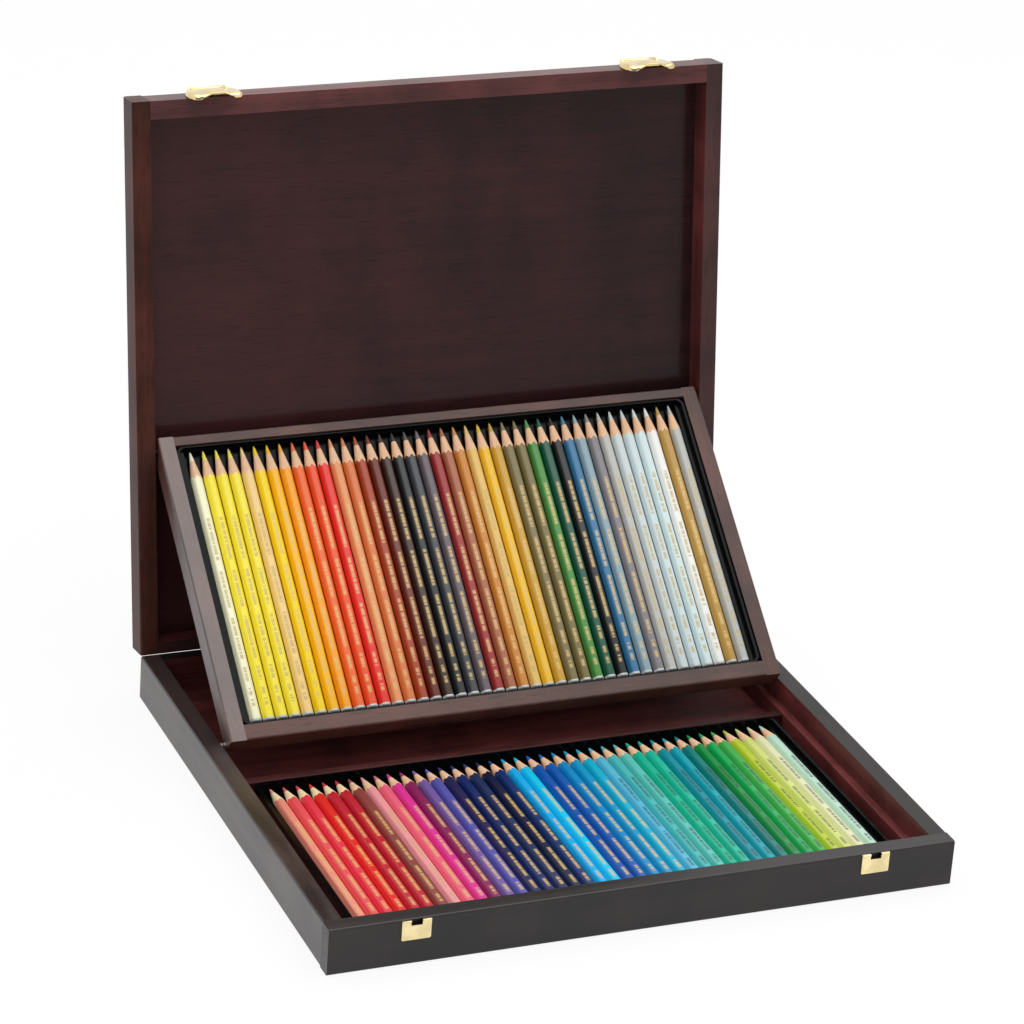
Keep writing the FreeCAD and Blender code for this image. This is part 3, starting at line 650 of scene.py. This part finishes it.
def add_pencil(verts, faces, looks, x0, y0, z0):
    """Add one pencil: rounded tail, painted barrel, scalloped cone and coloured point.
    looks gets each face's material index."""
    taper = (CORNER_R - TIP_R) / TIP_L
    turns = [2 * math.pi * k / ROUND for k in range(ROUND)]
    radii = [hex_radius(t) for t in turns]
    shoulder = [PENCIL_L - (r - TIP_R) / taper for r in radii]
    lead_r, lead_y = TIP_R + LEAD_L * taper, PENCIL_L - LEAD_L
    rings = [[(r * share, y) for r in radii] for share, y in TAIL_RINGS]
    rings.append([(r, PENCIL_L * 0.5) for r in radii])
    rings.append(list(zip(radii, shoulder)))
    rings.append([(r + (lead_r - r) * 0.5, y + (lead_y - y) * 0.5)
                  for r, y in zip(radii, shoulder)])
    rings.append([(lead_r, lead_y)] * ROUND)
    rings += [[(r, PENCIL_L - back)] * ROUND for r, back in TIP_RINGS]
    base = len(verts)
    for ring in rings:
        for (r, y), t in zip(ring, turns):
            verts.append((x0 + r * math.cos(t), y0 + y, z0 + r * math.sin(t)))
    for row, look in enumerate(RING_LOOKS):
        a, b = base + row * ROUND, base + (row + 1) * ROUND
        for k in range(ROUND):
            n = (k + 1) % ROUND
            faces.append((a + n, a + k, b + k, b + n))
            looks.append(look)
    last = base + (len(rings) - 1) * ROUND
    faces.append(tuple(base + k for k in range(ROUND)))
    looks.append(TAIL)
    faces.append(tuple(last + k for k in reversed(range(ROUND))))
    looks.append(LEAD)


def toned(paint, share, plus):
    """Paint's colour scaled and lifted."""
    return [share * c + plus for c in paint]


def foil_tone(paint, painted_reflection):
    """Foil's tone on a paint. Where a painted reflection is asked for, the paint's colour is
    darkened into a painted reflection of the dark lid.
    """
    if painted_reflection:
        return toned(paint, *PAINTED_REFLECTION)
    return OCHRE if sum(paint) / 3 > PALE else GOLD


def pencil_group(name, paints, numbers, place, tail_y, axis_z, body, straw, painted_reflection):
    """One colour group as a single mesh. The first straw pencils of the row have paler wood,
    and from the pencil that the last argument numbers on, the foil's colour is a painted
    reflection of the dark lid."""
    verts, faces, looks, owners = [], [], [], []
    for number in numbers:
        count = len(faces)
        add_pencil(verts, faces, looks, column(number), tail_y, axis_z)
        owners += [number] * (len(faces) - count)
    mesh = bpy.data.meshes.new(name)
    mesh.from_pydata([Vector(v) * MM for v in verts], [], faces)
    paint_layer = mesh.color_attributes.new("paint", "FLOAT_COLOR", "CORNER")
    foil_layer = mesh.color_attributes.new("foil", "FLOAT_COLOR", "CORNER")
    print_map = mesh.uv_layers.new(name="print")
    for polygon, look, number in zip(mesh.polygons, looks, owners):
        polygon.material_index = look
        polygon.use_smooth = True
        paint = paints[number]
        wood = STRAW if number < straw else PEACH
        shown = srgb(*(paint, wood, toned(paint, *CHALKY), TAIL_WHITE)[look])
        # From the numbered pencil on, the foil holds a painted reflection of the dark lid.
        foil = srgb(*foil_tone(paint, number >= painted_reflection))[:3] + (number / PENCILS,)
        printed = look == PAINT and polygon.normal.z > TOP_NORMAL
        centre = Vector((column(number), tail_y, axis_z)) * MM
        for corner in polygon.loop_indices:
            paint_layer.data[corner].color = shown
            foil_layer.data[corner].color = foil
            point = mesh.vertices[mesh.loops[corner].vertex_index].co - centre
            print_map.data[corner].uv = (-point.x / MM if printed else OFF_PRINT, point.y / MM)
    for material in PENCIL_LOOKS:
        mesh.materials.append(material)
    mesh.set_sharp_from_angle(angle=math.radians(20))
    mesh.transform(place)
    piece = add_object(name, mesh)
    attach(piece, body)
    return piece


PENCIL_LOOKS = [lacquer(), cedar(), core(), tail_end()]     # as PAINT, WOOD, LEAD and TAIL
flat = Matrix.Identity(4)
lifted = (Matrix.Translation((0, PIVOT[0] * MM, PIVOT[1] * MM))
          @ Matrix.Rotation(TRAY_TILT, 4, "X"))
for group in range(GROUPS):
    numbers = range(PENCILS * group // GROUPS, PENCILS * (group + 1) // GROUPS)
    upper = pencil_group("pencils_upper_%d" % (group + 1), UPPER_PAINTS, numbers, lifted,
                         UPPER_TAIL, UPPER_AXIS, "tray", straw=0, painted_reflection=PENCILS)
    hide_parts("upper_pencils_%d" % (group + 1))
    lower = pencil_group("pencils_lower_%d" % (group + 1), LOWER_PAINTS, numbers, flat,
                         LOWER_TAIL, LOWER_AXIS, "base", straw=STRAW_TIPS, painted_reflection=PAINTED_REFLECTION_FROM)
    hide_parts("lower_pencils_%d" % (group + 1))

# ---- floor, light and camera, in metres ----------------------------------------------
FLOOR_R = 30
FLOOR_DROP = 0.0002                # floor's depth under the base
FLOOR_WHITE = 0.9                  # share of plain white in what the camera sees of it
WORLD_LIGHT = 0.56                 # strength of the world as a light
DIM_END = (-0.3, -0.85, 0.43)      # direction of the room's dim end, in front of the case
DIM_BAND = (0.70, 0.92)            # how near to that direction it starts and is whole
DIM_WHITE = 0.22                   # its strength in reflections, where the rest has 1


def floor_material():
    """Pale floor, near white to the camera and in reflections; shadows still show."""
    g = material_graph("floor_pale")
    speck = g.noise(g.placed(), 40.0, detail=2.0)
    diffuse = g.add("BsdfDiffuse")
    g.link(g.mix(speck, srgb(0.97, 0.97, 0.97), srgb(0.99, 0.99, 0.99)),
           diffuse.inputs["Color"])
    g.blend_surface(g.math("MULTIPLY", g.seen(), FLOOR_WHITE), diffuse, g.add("Emission"))
    return g.owner


def studio():
    """World: an even light for the case, and white where it is seen. Reflections also see
    the room's dim end."""
    g = Graph(bpy.data.worlds.new("studio"), "OutputWorld")
    ambient, backdrop = g.add("Background"), g.add("Background")
    ambient.inputs["Color"].default_value = WHITE
    ambient.inputs["Strength"].default_value = WORLD_LIGHT
    backdrop.inputs["Color"].default_value = WHITE
    gloss = g.add("Mix", data_type="FLOAT")
    g.link(g.add("LightPath").outputs["Is Glossy Ray"], gloss.inputs[0])
    gloss.inputs[2].default_value = 1.0
    g.link(g.band(g.toward("Generated", DIM_END), *DIM_BAND, 1.0, DIM_WHITE), gloss.inputs[3])
    g.link(gloss.outputs[0], backdrop.inputs["Strength"])
    g.blend_surface(g.seen(), ambient, backdrop)
    return g.owner


def softbox(name, place, aim, size, power):
    """Square area lamp, turned to aim. power is in watts."""
    data = bpy.data.lights.new(name, "AREA")
    data.shape = "SQUARE"
    data.size = size
    data.energy = power
    lamp = add_object(name, data)
    lamp.location = place
    lamp.rotation_euler = (Vector(aim) - Vector(place)).to_track_quat("-Z", "Y").to_euler()


floor_mesh = bpy.data.meshes.new("floor")
turns = [math.radians(a) for a in range(0, 360, 10)]
edge = [(FLOOR_R * math.cos(t), FLOOR_R * math.sin(t), 0) for t in turns]
floor_mesh.from_pydata(edge, [], [tuple(range(len(edge)))])
floor_mesh.materials.append(floor_material())
floor = add_object("floor", floor_mesh)
floor.location.z = -FLOOR_DROP

scene.world = studio()
softbox("overhead", place=(0.30, 0.25, 1.9), aim=(0.30, 0.25, 0.0), size=2.4, power=32.0)

# Where the photograph was taken from, fitted to the case's corners in it.
AZIMUTH = math.radians(-23.5232)   # from the front, to the left
ELEVATION = math.radians(24.3811)
ROLL = math.radians(4.0885)
EYE = (-0.88697, -1.97840, 1.15846)
LENS, SENSOR = 147.62, 36.0        # mm
camera_data = bpy.data.cameras.new("camera")
camera_data.sensor_width = SENSOR
camera_data.lens = LENS
camera_data.clip_end = 100.0
camera = add_object("camera", camera_data)
camera.matrix_world = (Matrix.Translation(EYE) @ Matrix.Rotation(AZIMUTH, 4, "Z")
                       @ Matrix.Rotation(math.pi / 2 - ELEVATION, 4, "X")
                       @ Matrix.Rotation(ROLL, 4, "Z"))
bpy.context.scene.camera = camera
scene.view_settings.view_transform = "Standard"
